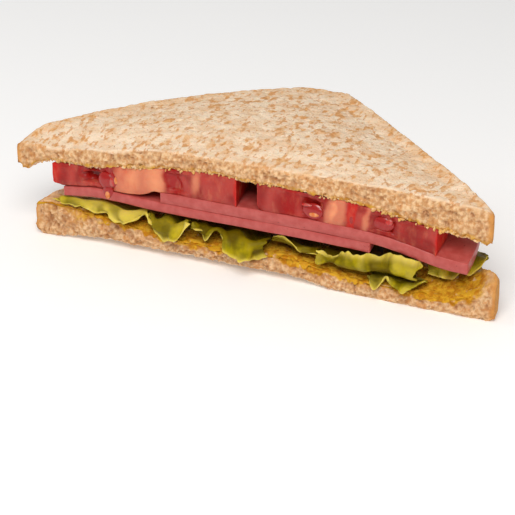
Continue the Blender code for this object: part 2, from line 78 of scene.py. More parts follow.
# How much spread shows along the front of the bottom slice, as places along the cut and shares.
SPREAD_SHARE = np.array([
    (-68, 0.0), (-60, 0.3), (-50, 0.4), (-41, 1.0), (-35, 0.9), (-29, 0.8), (-18, 0.5), (-8, 0.7),
    (0, 0.5), (9, 0.6), (18, 0.9), (30, 1.0), (38, 0.9), (46, 0.5), (58, 0.9), (66, 0.9), (71, 0.6),
    (77, 0.2),
])


def ease(low, high, value):
    """The cubic ease from 0 at low to 1 at high."""
    t = np.clip((value - low) / (high - low), 0, 1)
    return t * t * (3 - 2 * t)


def noise(points, size, seed, octaves=1):
    """Smooth noise from -1 to 1: random values on a lattice of that size, blended by the ease.

    Each further octave is half as large and half as strong.
    """
    lattice = np.random.default_rng(seed).uniform(-1, 1, (32, 32, 32))
    total = 0
    for octave in range(octaves):
        place = points / size * 2**octave + 100 + 17.3 * octave
        cell = np.floor(place).astype(int)
        t = place - cell
        t = t * t * (3 - 2 * t)
        for corner in itertools.product((0, 1), repeat=3):
            at = (cell + corner) % 32
            share = np.prod(np.where(corner, t, 1 - t), axis=-1)
            total = total + share * lattice[at[..., 0], at[..., 1], at[..., 2]] / 2**octave
    return total


def cells(points, size, seed):
    """For each point, the distance to the nearest of random centres, and that centre's number.

    There is one centre in each cell of that size. The distance is in cells, the number 0 to 1.
    """
    centres = np.random.default_rng(seed).uniform(0, 1, (16, 16, 16, 4))
    place = points / size + 100
    cell = np.floor(place).astype(int)
    nearest = np.full(len(points), np.inf)
    number = np.zeros(len(points))
    for corner in itertools.product((-1, 0, 1), repeat=3):
        at = cell + corner
        centre = centres[tuple((at % 16).T)]
        distance = np.linalg.norm(at + centre[:, :3] - place, axis=1)
        closer = distance < nearest
        nearest = np.where(closer, distance, nearest)
        number = np.where(closer, centre[:, 3], number)
    return nearest, number


def merged_mesh(node_name, crease=0.0):
    """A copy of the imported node's mesh, its loose triangles merged into quads, in millimetres.

    Its sharp edges get the crease, which keeps them sharp when the mesh is subdivided.
    """
    mesh = bpy.data.meshes.new(node_name + "_fine")
    work = bmesh.new()
    work.from_mesh(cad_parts[node_name].data)
    bmesh.ops.remove_doubles(work, verts=work.verts, dist=1e-6)
    bmesh.ops.join_triangles(
        work, faces=work.faces, angle_face_threshold=0.7, angle_shape_threshold=3.1
    )
    if crease:
        creases = work.edges.layers.float.new("crease_edge")
        for edge in work.edges:
            if edge.calc_face_angle(0) > 0.5:
                edge[creases] = crease
    work.to_mesh(mesh)
    work.free()
    mesh.transform(Matrix.Scale(1 / MM, 4) @ Matrix.Translation(Vector(-CUT_MIDDLE * MM)))
    return mesh


def new_object(name, data):
    """An object with that data, in the scene."""
    obj = bpy.data.objects.new(name, data)
    bpy.context.scene.collection.objects.link(obj)
    return obj


def bake_modifiers(obj):
    """Gives the object the mesh that its modifiers make, and takes the modifiers off."""
    graph = bpy.context.evaluated_depsgraph_get()
    mesh = bpy.data.meshes.new_from_object(obj.evaluated_get(graph))
    obj.modifiers.clear()
    obj.data = mesh


def remeshed(name, node_name, grid):
    """A new object with the node's shape on an even grid of that many millimetres."""
    obj = new_object(name, merged_mesh(node_name))
    remesh = obj.modifiers.new("Remesh", "REMESH")
    remesh.mode = "VOXEL"
    remesh.voxel_size = grid
    bake_modifiers(obj)
    return obj


def points_and_normals(obj):
    """The object's points and the normals there, each an array of three columns."""
    values = np.zeros((2, len(obj.data.vertices) * 3), np.float32)
    obj.data.vertices.foreach_get("co", values[0])
    obj.data.vertex_normals.foreach_get("vector", values[1])
    return values.reshape(2, -1, 3).astype(float)


def cut_edges(points, front):
    """The lowest and the highest height on the cut, as curves along x: extremes in 1 mm bins."""
    bins = np.round(points[front, 0]).astype(int)
    first, count = bins.min(), np.ptp(bins) + 1
    low, high = np.full(count, np.inf), np.full(count, -np.inf)
    np.minimum.at(low, bins - first, points[front, 2])
    np.maximum.at(high, bins - first, points[front, 2])
    known = np.isfinite(low)
    x = (np.arange(count) + first)[known]
    return np.stack([x, low[known], high[known]], 1)


def finish_piece(obj, points, material, slot, nodes=(), **attributes):
    mesh = obj.data
    mesh.vertices.foreach_set("co", ((points + CUT_MIDDLE) * MM).astype(np.float32).ravel())
    for name, values in attributes.items():
        kind, key = ("FLOAT", "value") if values.ndim == 1 else ("FLOAT_VECTOR", "vector")
        added = mesh.attributes.new(name, kind, "POINT")
        added.data.foreach_set(key, values.astype(np.float32).ravel())
    mesh.materials.clear()
    mesh.materials.append(material)
    mesh.shade_smooth()
    mesh.update()
    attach(obj, "root")
    if nodes:
        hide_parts(*nodes)


def node(tree, kind, inputs=None, **settings):
    """Adds a shader node. An input is a number, a colour or another node's output."""
    made = tree.nodes.new("ShaderNode" + kind)
    for key, value in settings.items():
        setattr(made, key, value)
    for key, value in (inputs or {}).items():
        if isinstance(value, bpy.types.NodeSocket):
            tree.links.new(value, made.inputs[key])
        else:
            made.inputs[key].default_value = value
    return made


def new_material(name, roughness, scatter=0.0, radius=(1.0, 0.5, 0.3), scale=1.5):
    """A material with its shader's plain values set. It scatters light over scale millimetres."""
    material = bpy.data.materials.new(name)
    material.use_nodes = True
    tree = material.node_tree
    shader = tree.nodes["Principled BSDF"]
    shader.inputs["Roughness"].default_value = roughness
    shader.inputs["Subsurface Weight"].default_value = scatter
    shader.inputs["Subsurface Radius"].default_value = radius
    shader.inputs["Subsurface Scale"].default_value = scale * MM
    place = node(tree, "TexCoord").outputs["Object"]
    return material, tree, shader, place


def mixed(tree, share, first, second):
    """A colour between first and second by share."""
    made = node(tree, "Mix", data_type="RGBA")
    for socket, value in zip((made.inputs[0], made.inputs[6], made.inputs[7]), (share, first, second)):
        if isinstance(value, bpy.types.NodeSocket):
            tree.links.new(value, socket)
        else:
            socket.default_value = (*value, 1) if isinstance(value, tuple) else value
    return made.outputs[2]


def above(tree, value, low, high):
    """0 where value is under low, 1 where it is over high, with a smooth step between."""
    made = node(tree, "MapRange", {0: value, 1: low, 2: high}, interpolation_type="SMOOTHSTEP")
    return made.outputs[0]


def grain(tree, place, size, detail=2.0, stretch=(1, 1, 1), seed=0.0):
    """Noise with features of that many millimetres, stretched along the axes."""
    scale = tuple(1 / s for s in stretch)
    moved = node(tree, "Mapping", {"Vector": place, "Scale": scale, "Location": (seed, seed, seed)})
    inputs = {"Vector": moved.outputs[0], "Scale": 1 / (size * MM), "Detail": detail}
    return node(tree, "TexNoise", inputs).outputs[0]


def attribute(tree, name):
    """The value that the piece itself holds at each point under that name."""
    return node(tree, "Attribute", attribute_name=name).outputs["Fac"]


def times(tree, first, second, operation="MULTIPLY"):
    """The product of two values, or another operation on them."""
    return node(tree, "Math", {0: first, 1: second}, operation=operation).outputs[0]


def add_bump(tree, shader, height, strength, depth):
    """Fine relief from a height, depth millimetres deep."""
    bump = node(tree, "Bump", {"Height": height, "Strength": strength, "Distance": depth * MM})
    tree.links.new(bump.outputs[0], shader.inputs["Normal"])


def bread_material():
    """Pale crumb with bran on the faces, browner torn crumb on the cut with painted shade in its pores, and
    a golden crust.
    """
    material, tree, shader, place = new_material("brown_bread", 0.85, 0.1)
    shader.inputs["Specular IOR Level"].default_value = 0.2
    cloud = above(tree, grain(tree, place, 6, 4), 0.36, 0.62)
    colour = mixed(tree, cloud, CRUMB_PALE, CRUMB_CREAM)
    thick = above(tree, grain(tree, place, 12, 2, seed=3), 0.3, 0.65)
    clusters = above(tree, grain(tree, place, 2.6, 5, (1, 1.8, 1), 5), 0.5, 0.6)
    clusters = times(tree, clusters, times(tree, thick, 0.45, "ADD"))
    colour = mixed(tree, times(tree, clusters, 0.5), colour, BRAN_GOLD)
    small = times(tree, grain(tree, place, 1.3, 3, (1, 1.8, 1), 7), times(tree, clusters, 0.09), "ADD")
    small = above(tree, small, 0.58, 0.66)
    colour = mixed(tree, times(tree, small, 0.65), colour, BRAN)
    specks = above(tree, grain(tree, place, 0.9, 1, (1, 1.8, 1), 9), 0.71, 0.78)
    colour = mixed(tree, times(tree, specks, 0.7), colour, BRAN_DARK)
    toast = times(tree, attribute(tree, "toast"), above(tree, grain(tree, place, 4, 3, seed=15), 0.25, 0.7))
    colour = mixed(tree, times(tree, toast, 0.6), colour, BRAN_GOLD)
    torn = mixed(tree, above(tree, grain(tree, place, 1.2, 6, seed=11), 0.34, 0.64), CRUMB_CUT, CRUMB_LIGHT)
    browner = above(tree, grain(tree, place, 6, 3, seed=21), 0.45, 0.7)
    torn = mixed(tree, times(tree, browner, 0.4), torn, CRUMB_CUT)
    torn = mixed(tree, times(tree, small, 0.55), torn, BRAN)
    # The pores are painted dark: painted shade in the hollows.
    torn = mixed(tree, attribute(tree, "pore"), torn, CRUMB_PORE_SHADE)
    colour = mixed(tree, attribute(tree, "cut"), colour, torn)
    damp = above(tree, grain(tree, place, 2.2, 4, seed=17), 0.28, 0.5)
    stain = above(tree, times(tree, attribute(tree, "stain"), times(tree, damp, 0.5, "ADD")), 0.05, 0.65)
    mottled = above(tree, grain(tree, place, 1.8, 4, seed=19), 0.4, 0.62)
    colour = mixed(tree, stain, colour, mixed(tree, mottled, STAIN_YELLOW, STAIN_DEEP))
    crust = mixed(tree, above(tree, grain(tree, place, 4, 5, seed=13), 0.35, 0.75), CRUST_GOLD, CRUST_BROWN)
    colour = mixed(tree, attribute(tree, "crust"), colour, crust)
    tree.links.new(colour, shader.inputs["Base Color"])
    height = times(tree, grain(tree, place, 0.8, 4, seed=2), grain(tree, place, 2.4, 3, seed=1), "ADD")
    add_bump(tree, shader, height, 0.75, 0.6)
    return material


def bread_slice(name, node_name, material, holes, soaked, raggedness, tip, seed):
    """A slice with its crumb: the grid's points move along their normals.

    The cut face is pitted by two sizes of round pores, more of them where slow noise is high, and
    torn by fine noise. Its lower edge hangs ragged. The faces have shallow dimples. The crust is
    nearly smooth, its edges are rounded, and it wraps round the right end beyond x = tip. Depth
    under the crust is the least gap to the straight lines that touch the slice from its two crust
    sides. Spread has stained the upper face where the slice is soaked.
    """
    obj = remeshed(name, node_name, BREAD_GRID)
    points, normals = points_and_normals(obj)
    x, y, z = points.T
    turn = np.radians(np.arange(-8, 189, 4))
    outwards = points[:, :2] @ np.stack([np.cos(turn), np.sin(turn)])
    depth = (outwards.max(0) - outwards).min(1)
    cut = ease(0.35, 0.8, -normals[:, 1]) * ease(2.2, 1.2, y)
    edges = cut_edges(points, cut > 0.6)
    low, high = (np.interp(x, edges[:, 0], edges[:, k]) for k in (1, 2))
    height = np.clip((z - low) / np.maximum(high - low, 1), 0, 1)
    facing = np.where(cut > 0.3, 2 * height - 1, normals[:, 2])
    crust = ease(CRUST_DEPTH[1], CRUST_DEPTH[0], depth + 0.5 * noise(points, 3, seed))
    crust = np.maximum(crust, 0.9 * ease(-0.5, 0.5, x - tip + 0.5 * noise(points, 2, seed + 7)))
    upright = points * (1.15, 1, 0.85)
    big, big_number = cells(upright, BIG_PORE, seed)
    fine, fine_number = cells(upright, FINE_PORE, seed + 1)
    open_there = 0.3 * noise(points, 8, seed + 8)
    big = ease(0.66, 0.15, big) * ease(0.45, 0.7, big_number + open_there)
    fine = ease(0.64, 0.2, fine) * ease(0.3, 0.5, fine_number + 0.5 * open_there)
    opened = 0
    for at_x, at_z, half_x, half_z in holes:
        away = ((x - at_x) / half_x) ** 2 + ((z - at_z) / half_z) ** 2 + 0.5 * noise(points, 1.5, seed + 5)
        opened = np.maximum(opened, ease(1.2, 0.4, away))
    inner = ease(0.8, 1.6, depth)
    # pore sets how deep each point sinks and how much painted shade its colour gets.
    pore = np.clip(0.6 * big + 0.45 * fine + 0.5 * opened, 0, 1) * cut * inner
    torn = TORN_DEPTH * noise(upright, 1.4, seed + 2, 3) * cut
    dimples = (0.18 * noise(points, 2.6, seed + 3, 2) - 0.22 * fine - 0.18 * big) * (1 - cut) * inner
    moved = points + normals * (torn + dimples - PORE_DEPTH * pore)[:, None]
    rounding = SHOULDER_DROP * ease(SHOULDER_DEPTH, 0, depth) ** 2 + 0.35 * ease(1.5, 0, y) ** 2
    moved[:, 2] -= rounding * facing
    ragged = np.abs(noise(points, 1.3, seed + 4, 2)) + 0.6 * ease(0.1, 0.7, noise(points, 4, seed + 6))
    moved[:, 2] -= raggedness * ragged * ease(0.3, 0, height) * ease(2.4, 0.8, y) * inner
    moved[:, 2] = np.maximum(moved[:, 2], 0)
    if soaked:
        spread_share = np.interp(x, *SPREAD_SHARE.T)
        top = (1 - cut) * ease(14, 6, y) * ease(0.2, 0.7, normals[:, 2])
        bleeding = ease(0.5, 1.0, height + 0.3 * noise(points, 2.4, seed, 2))
        stain = spread_share * (top + 0.8 * cut * bleeding)
    else:
        stain = 0.35 * cut * ease(0.25, 0.0, height)
    finish_piece(
        obj, moved, material, "bread", [node_name],
        cut=cut, crust=crust, pore=pore, stain=stain, toast=ease(10, 0, depth),
    )
    return edges


bread = bread_material()
top_edges = bread_slice(
    "bread_top_slice", "bread_top", bread, TOP_HOLES, soaked=False, raggedness=0.85, tip=76.1, seed=21
)
bottom_edges = bread_slice(
    "bread_bottom_slice", "bread_bottom", bread, BOTTOM_HOLES, soaked=True, raggedness=0.3, tip=80.3, seed=34
)

# --- Torn crumbs ------------------------------------------------------------------------------
# Small bits of crumb that the knife tore loose. They hang from the lower edge of the top slice,
# damp with spread.

DAMP_CRUMB = (0.64, 0.35, 0.13)
DAMP_YELLOW = (0.70, 0.39, 0.10)


def blobs(name, centres, sizes, roughening, detail, seed, material, slot):
    """One piece of many small lumps: a round ball at each centre.

    Each ball is stretched to its own three half sizes. Its radius is roughened by noise, by up to
    the share roughening.
    """
    work = bmesh.new()
    bmesh.ops.create_icosphere(work, subdivisions=detail, radius=1)
    ball = np.array([v.co for v in work.verts])
    faces = np.array([[v.index for v in f.verts] for f in work.faces])
    work.free()
    count = len(centres)
    far_apart = ball[None] + 20 * np.arange(count)[:, None, None]
    swell = 1 + roughening * noise(far_apart, 0.9, seed)
    points = np.asarray(centres)[:, None] + ball[None] * swell[..., None] * np.asarray(sizes)[:, None]
    all_faces = faces[None] + len(ball) * np.arange(count)[:, None, None]
    mesh = bpy.data.meshes.new(name)
    mesh.from_pydata(points.reshape(-1, 3).tolist(), [], all_faces.reshape(-1, 3).tolist())
    obj = new_object(name, mesh)
    finish_piece(obj, points.reshape(-1, 3), material, slot)


def crumb_material():
    """Crumb darkened by spread, with yellower and paler patches."""
    material, tree, shader, place = new_material("damp_crumb", 0.7, 0.15)
    colour = mixed(tree, above(tree, grain(tree, place, 2.5, 2), 0.4, 0.6), DAMP_CRUMB, DAMP_YELLOW)
    colour = mixed(tree, above(tree, grain(tree, place, 1.4, 2, seed=5), 0.5, 0.65), colour, CRUMB_LIGHT)
    tree.links.new(colour, shader.inputs["Base Color"])
    add_bump(tree, shader, grain(tree, place, 0.5, 3), 0.5, 0.2)
    return material


def hanging_crumbs(span, count, sizes, hang, seed):
    """Crumbs at random places along the lower edge of the top slice, crowded where noise is high.

    Each hangs below the edge by a length from the range hang.
    """
    rng = np.random.default_rng(seed)
    x = rng.uniform(*span, count)
    crowded = noise(np.stack([x, 0 * x, 0 * x], 1), 5, seed) + rng.uniform(-0.6, 0.6, count)
    x = x[crowded > -0.15]
    size = rng.uniform(*sizes, (len(x), 1)) * rng.uniform(0.6, 1.7, (len(x), 3))
    z = np.interp(x, top_edges[:, 0], top_edges[:, 1]) - rng.uniform(*hang, len(x))
    centres = np.stack([x, rng.uniform(0, 1.4, len(x)), z], 1)
    blobs(
        "torn_crumbs", centres, size, roughening=1.3, detail=2, seed=seed + 1,
        material=crumb_material(), slot="bread",
    )


hanging_crumbs(span=(-66, 73), count=420, sizes=(0.16, 0.42), hang=(-0.5, 0.4), seed=5)

# --- Polony -----------------------------------------------------------------------------------
# Two slices of fine pink luncheon sausage, cut clean through by the knife. The meat is close and
# moist, with a few small pits and specks. The slices cling together, so only a thin seam shows.

POLONY_PINK = (0.42, 0.058, 0.049)
POLONY_LIGHT = (0.50, 0.097, 0.084)
POLONY_DARK = (0.25, 0.025, 0.022)
POLONY_CREASE = 0.75
SEAM_CLOSING = 0.5


def subdivided(name, node_name, crease):
    """A new object with the node's shape, its quads divided three times by smooth subdivision."""
    obj = new_object(name, merged_mesh(node_name, crease))
    divide = obj.modifiers.new("Subdivision", "SUBSURF")
    divide.levels = divide.render_levels = 3
    bake_modifiers(obj)
    return obj


def polony_material():
    """Dusty pink meat with soft lighter clouds, dark specks and tiny pits."""
    material, tree, shader, place = new_material("polony_meat", 0.38, 0.2, (1.0, 0.3, 0.25), 1.5)
    cloud = above(tree, grain(tree, place, 2.4, 4), 0.3, 0.75)
    colour = mixed(tree, cloud, POLONY_PINK, POLONY_LIGHT)
    specks = above(tree, grain(tree, place, 0.75, 1, seed=4), 0.74, 0.8)
    colour = mixed(tree, specks, colour, POLONY_DARK)
    tree.links.new(colour, shader.inputs["Base Color"])
    pits = above(tree, grain(tree, place, 0.7, 1, seed=6), 0.68, 0.78)
    add_bump(tree, shader, times(tree, grain(tree, place, 0.6, 3, seed=8), pits, "SUBTRACT"), 0.2, 0.2)
    return material


polony = polony_material()
for number, (side, closing) in enumerate((("lower", 0.0), ("upper", SEAM_CLOSING))):
    piece = subdivided(f"polony_slice_{side}", f"polony_{side}", POLONY_CREASE)
    flat, facing = points_and_normals(piece)
    unevenness = 0.08 * noise(flat, 9, 50 + number) + 0.03 * noise(flat, 2, 60 + number)
    moved = flat + facing * unevenness[:, None]
    moved[:, 2] -= closing * ease(0.2, 0.8, -facing[:, 2])
    finish_piece(piece, moved, polony, "polony", [f"polony_{side}"])

# --- Tomato -----------------------------------------------------------------------------------
# Thick slices of ripe tomato: two that the knife cut through, and a whole one behind them. The cut
# shows red walls, seed chambers full of dark wet gel, and a pale core in the left one.

FLESH = (0.27, 0.015, 0.012)
FLESH_PINK = (0.41, 0.052, 0.040)
FLESH_PALE = (0.78, 0.30, 0.15)
FLESH_SALMON = (0.60, 0.18, 0.098)
CORE_PALE = (0.77, 0.29, 0.145)
FLESH_DEEP = (0.33, 0.005, 0.004)
GEL_DARK = (0.27, 0.006, 0.004)
SKIN = (0.50, 0.012, 0.007)
SKIN_SHADED = (0.26, 0.006, 0.004)
TOMATO_CREASE = 0.5
TOMATO_CLOSING = 0.6
OVERHANG = -56.5
CORNER_RADIUS = 2.6
WET_COAT = 0.45

# Features of the cut, each an ellipse: place along the cut, height as a share of the slice's
# thickness, half width, half height, lean, depth in millimetres, softness and tone.
LEFT_FEATURES = [
    (-59.8, 0.5, 2.4, 3.0, 0.0, -0.2, 0.8, SKIN), (-53.0, 0.5, 2.0, 1.4, 0.6, 0.0, 0.9, FLESH_PINK),
    (-46.4, 0.66, 3.8, 0.55, -2.2, 1.6, 0.15, FLESH_DEEP), (-45.4, 0.86, 2.8, 0.3, -1.0, 0.6, 0.5, GEL_DARK),
    (-41.2, 0.45, 2.6, 0.9, 0.0, 0.5, 0.5, FLESH_DEEP), (-30.6, 0.5, 8.8, 3.0, 0.6, 0.0, 0.2, FLESH_SALMON),
    (-33.6, 0.6, 2.6, 0.8, 1.6, 0.0, 1.0, CORE_PALE), (-25.6, 0.5, 2.6, 1.4, -1.0, 0.0, 1.0, CORE_PALE),
    (-20.0, 0.5, 3.2, 0.6, -2.8, 0.5, 0.25, FLESH_DEEP), (-12.6, 0.6, 1.5, 0.6, 1.4, 0.0, 0.8, FLESH_SALMON),
    (-5.0, 0.5, 2.0, 1.2, 1.0, 0.0, 0.9, FLESH_PINK), (1.4, 0.5, 1.4, 3.0, 0.8, -0.1, 0.6, SKIN),
]
RIGHT_FEATURES = [
    (6.2, 0.5, 0.9, 3.0, 0.0, 0.0, 0.6, SKIN), (11.4, 0.5, 2.2, 1.2, 1.4, 0.0, 0.9, FLESH_PINK),
    (17.2, 0.6, 3.6, 0.75, 1.6, 0.25, 0.5, FLESH_DEEP), (24.2, 0.5, 4.0, 0.8, 0.0, 0.45, 0.35, GEL_DARK),
    (31.4, 0.5, 3.3, 2.0, 1.5, 0.0, 0.3, FLESH_SALMON), (30.4, 0.6, 1.0, 0.6, 1.4, 0.0, 0.7, CORE_PALE),
    (36.2, 0.5, 1.5, 1.2, 1.6, 0.3, 0.3, SKIN), (40.8, 0.5, 0.8, 1.0, 1.2, 0.0, 0.7, FLESH_SALMON),
    (46.0, 0.6, 3.3, 0.7, 0.0, 0.4, 0.4, GEL_DARK), (54.0, 0.5, 5.0, 1.2, 1.5, 0.0, 0.9, FLESH),
    (62.6, 0.5, 1.4, 3.0, 1.4, 0.0, 0.6, SKIN),
]


def tomato_material():
    """Wet flesh tinted by the piece's own tone, with fine fibres and a coat that is wet in places."""
    material, tree, shader, place = new_material("tomato_flesh", 0.38, 0.3, (1.0, 0.12, 0.06), 1.8)
    shader.inputs["Specular IOR Level"].default_value = 0.2
    shader.inputs["Coat Roughness"].default_value = 0.12
    tree.links.new(attribute(tree, "wet"), shader.inputs["Coat Weight"])
    tone = node(tree, "Attribute", attribute_name="tone").outputs["Color"]
    fibres = above(tree, grain(tree, place, 1.6, 4, (1, 1, 2.2)), 0.45, 0.8)
    colour = mixed(tree, times(tree, fibres, 0.2), tone, FLESH_PALE)
    clouds = above(tree, grain(tree, place, 3.0, 3, (1, 1, 1.6), 7), 0.45, 0.75)
    colour = mixed(tree, times(tree, clouds, 0.25), colour, SKIN)
    tree.links.new(colour, shader.inputs["Base Color"])
    add_bump(tree, shader, grain(tree, place, 0.8, 3, seed=3), 0.3, 0.3)
    return material


def tomato_slice(name, node_name, material, features, wall_tone, seed):
    """A slice with its features: each ellipse hollows the cut and tints it, inwards of its rim.

    Places are shifted by noise first, so that no rim is regular. The tone turns to skin on the
    round side wall. The two flat faces swell to touch the layers below and above, but not where the
    slice hangs over the left end of the polony. The lower edge is rounded at the left end, measured
    from the least x at each depth, and the hollows are wet.
    """
    obj = subdivided(name, node_name, TOMATO_CREASE)
    points, normals = points_and_normals(obj)
    x, y, z = points.T
    cut = ease(0.3, 0.8, -normals[:, 1]) * ease(9, 5, y)
    pinkness = ease(-0.3, 0.7, noise(points, 4, seed, 2))[:, None]
    tone = np.array(FLESH) + (np.array(FLESH_PINK) - FLESH) * pinkness
    hollow = 0.1 * noise(points, 2.2, seed, 2)
    corner = 0
    if features:
        edges = cut_edges(points, y < 3)
        low, high = (np.interp(x, edges[:, 0], edges[:, k]) for k in (1, 2))
        height = (z - low) / np.maximum(high - low, 1)
        rows = np.maximum(np.round(y), 0).astype(int)
        ends = np.full(rows.max() + 1, np.inf)
        np.minimum.at(ends, rows, x)
        known = np.flatnonzero(np.isfinite(ends))
        t = np.clip(1 - (x - np.interp(y, known, ends[known])) / CORNER_RADIUS, 0, 1)
        corner = CORNER_RADIUS * (1 - np.sqrt(1 - t**2)) * np.clip(1 - (z - low) / (3 * CORNER_RADIUS), 0, 1)
        shift = 0.6 * noise(points, 3.2, seed + 1, 3)
        for at_x, at_height, half_x, half_height, lean, deep, soft, colour in features:
            across = (x + shift - at_x - lean * (height - 0.5)) / half_x
            away = np.hypot(across, (height + 0.05 * shift - at_height) / half_height)
            share = ease(1 + soft / 2, 1 - soft, away)
            tone = tone + (np.array(colour) - tone) * share[:, None]
            hollow = hollow + deep * ease(1.05, 0.5, away)
    moved = points + normals * (0.08 * noise(points, 2.2, seed + 2, 2))[:, None]
    moved[:, 1] += hollow * cut
    swelling = TOMATO_CLOSING * ease(0.3, 0.8, np.abs(normals[:, 2])) * ease(OVERHANG - 2, OVERHANG, x)
    moved[:, 2] += swelling * np.sign(normals[:, 2]) + corner
    wall = ease(0.5, 0.9, np.linalg.norm(normals[:, :2], axis=1)) * (1 - cut)
    tone = tone + (np.array(wall_tone) - tone) * wall[:, None]
    wet = 0.05 + WET_COAT * ease(0.2, 0.6, hollow) * cut
    finish_piece(obj, moved, material, "tomato", [node_name], tone=tone, wet=wet)


tomato = tomato_material()
# The left slice's side walls face dark gaps: their skin tone is painted shade.
tomato_slice(
    "tomato_slice_left", "tomato_left", tomato, LEFT_FEATURES, wall_tone=SKIN_SHADED, seed=71
)
tomato_slice("tomato_slice_right", "tomato_right", tomato, RIGHT_FEATURES, wall_tone=SKIN, seed=72)
tomato_slice("tomato_slice_back", "tomato_back", tomato, [], wall_tone=SKIN, seed=73)

# --- Seeds and gel ----------------------------------------------------------------------------
# Clear red gel that stands in the opened chambers, and the seeds in it. One seed has run down over
# the polony with its gel.

GEL_RED = (0.35, 0.012, 0.009)
GEL_PINK = (0.46, 0.09, 0.075)
SEED_ORANGE = (0.66, 0.16, 0.025)
SEED_PALE = (0.74, 0.28, 0.10)

# Each lump's middle and its half sizes, along the cut, in depth and in height.
GEL = [
    ((-42.0, 1.0, 21.6), (2.6, 1.3, 3.2)), ((-41.4, 0.5, 18.4), (1.7, 0.8, 2.4)),
    ((-39.2, 1.3, 22.4), (2.0, 1.5, 3.0)), ((36.2, 1.2, 23.6), (1.2, 0.9, 2.4)),
    ((24.4, 1.3, 23.8), (3.3, 1.2, 2.4)), ((45.6, 1.5, 23.8), (3.3, 1.1, 2.3)),
]
GEL_LUMPS = [
    ((22.4, 0.6, 25.8), (1.5, 0.5, 0.45)), ((27.6, 1.1, 26.6), (0.5, 0.5, 0.9)),
    ((47.2, 0.9, 24.8), (1.2, 0.6, 1.0)), ((44.0, 1.0, 23.6), (0.6, 0.5, 1.1)),
    ((-39.8, 0.2, 22.0), (0.9, 0.5, 1.5)),
]
SEEDS = [
    ((-41.3, -0.15, 17.6), (0.8, 0.45, 1.3)), ((-38.6, 0.2, 22.6), (0.6, 0.4, 1.2)),
    ((24.8, 0.45, 23.2), (1.6, 0.5, 0.8)),
]


def wet_material(name, first, second, size):
    """A glossy wet finish in two tones."""
    material, tree, shader, place = new_material(name, 0.25, 0.3, (1.0, 0.15, 0.06), 1.5)
    shader.inputs["Specular IOR Level"].default_value = 0.3
    shader.inputs["Coat Weight"].default_value = 0.5
    shader.inputs["Coat Roughness"].default_value = 0.05
    colour = mixed(tree, above(tree, grain(tree, place, size, 2), 0.4, 0.65), first, second)
    tree.links.new(colour, shader.inputs["Base Color"])
    return material


blobs(
    "tomato_gel", *zip(*GEL), roughening=0.14, detail=4, seed=11,
    material=wet_material("red_gel", GEL_RED, FLESH_DEEP, 2), slot="tomato",
)
blobs(
    "tomato_gel_lumps", *zip(*GEL_LUMPS), roughening=0.14, detail=4, seed=13,
    material=wet_material("pink_gel", GEL_PINK, SKIN, 2), slot="tomato",
)
blobs(
    "tomato_seeds", *zip(*SEEDS), roughening=0.1, detail=4, seed=12,
    material=wet_material("seed", SEED_ORANGE, SEED_PALE, 1.2), slot="tomato",
)

# --- Lettuce ----------------------------------------------------------------------------------
# Torn leaves of soft lettuce, laid on the bottom slice. They are thin and translucent, ruffled at
# their margins, and yellow towards a pale edge. Inwards they carry painted shade, and their ruffles a
# painted highlight on the crests and painted shade in the troughs.

LEAF_GREEN = (0.23, 0.19, 0.0018)
LEAF_YELLOW = (0.46, 0.36, 0.0035)
LEAF_PALE = (0.70, 0.54, 0.10)
# The next colour is mostly painted shade: inwards under the polony and in the ruffles' troughs.
LEAF_SHADE = (0.11, 0.074, 0.001)
LEAF_THICKNESS = 0.45
LEAF_GRID = (161, 49)
LEAF_DOWN = np.linspace(0, 1, LEAF_GRID[1]) ** 1.4
LEAF_CLEARANCE = 0.9
MARGIN_BAND = 0.08
SCALLOP = 1.1
SIDE_RIPPLE = 0.9
SLOW_RUFFLE, SLOW_LENGTH = 1.9, 3.4
QUICK_RUFFLE, QUICK_LENGTH = 2.0, 1.9
LEAF_PLACES = np.array([0, 0.22, 0.42, 1.0])

# The upper edge of the bread and the lower edge of the polony along the cut. Inwards both turn level
# over LEVEL_DEPTH.
LEVEL_DEPTH = 13
BREAD_LEVEL, POLONY_LEVEL = 9.3, 15.2
BREAD_EDGE = np.array([
    (-69, 10.4), (-64, 11.6), (-50, 11.0), (-42, 9.7), (-33, 8.8), (-20, 7.7), (8, 7.6),
    (16, 8.6), (26, 7.3), (38, 5.9), (50, 5.2), (62, 5.0), (70, 6.4), (75, 9.4), (78, 12.4),
])
POLONY_EDGE = np.array([
    (-58, 14.5), (-52, 15.2), (-45, 16.0), (-37, 15.6), (-24, 15.1), (0, 15.0), (20, 15.0),
    (42, 14.6), (44, 17.8), (50, 17.0), (56, 15.8), (61, 14.7), (66, 14.1), (73, 13.9),
])
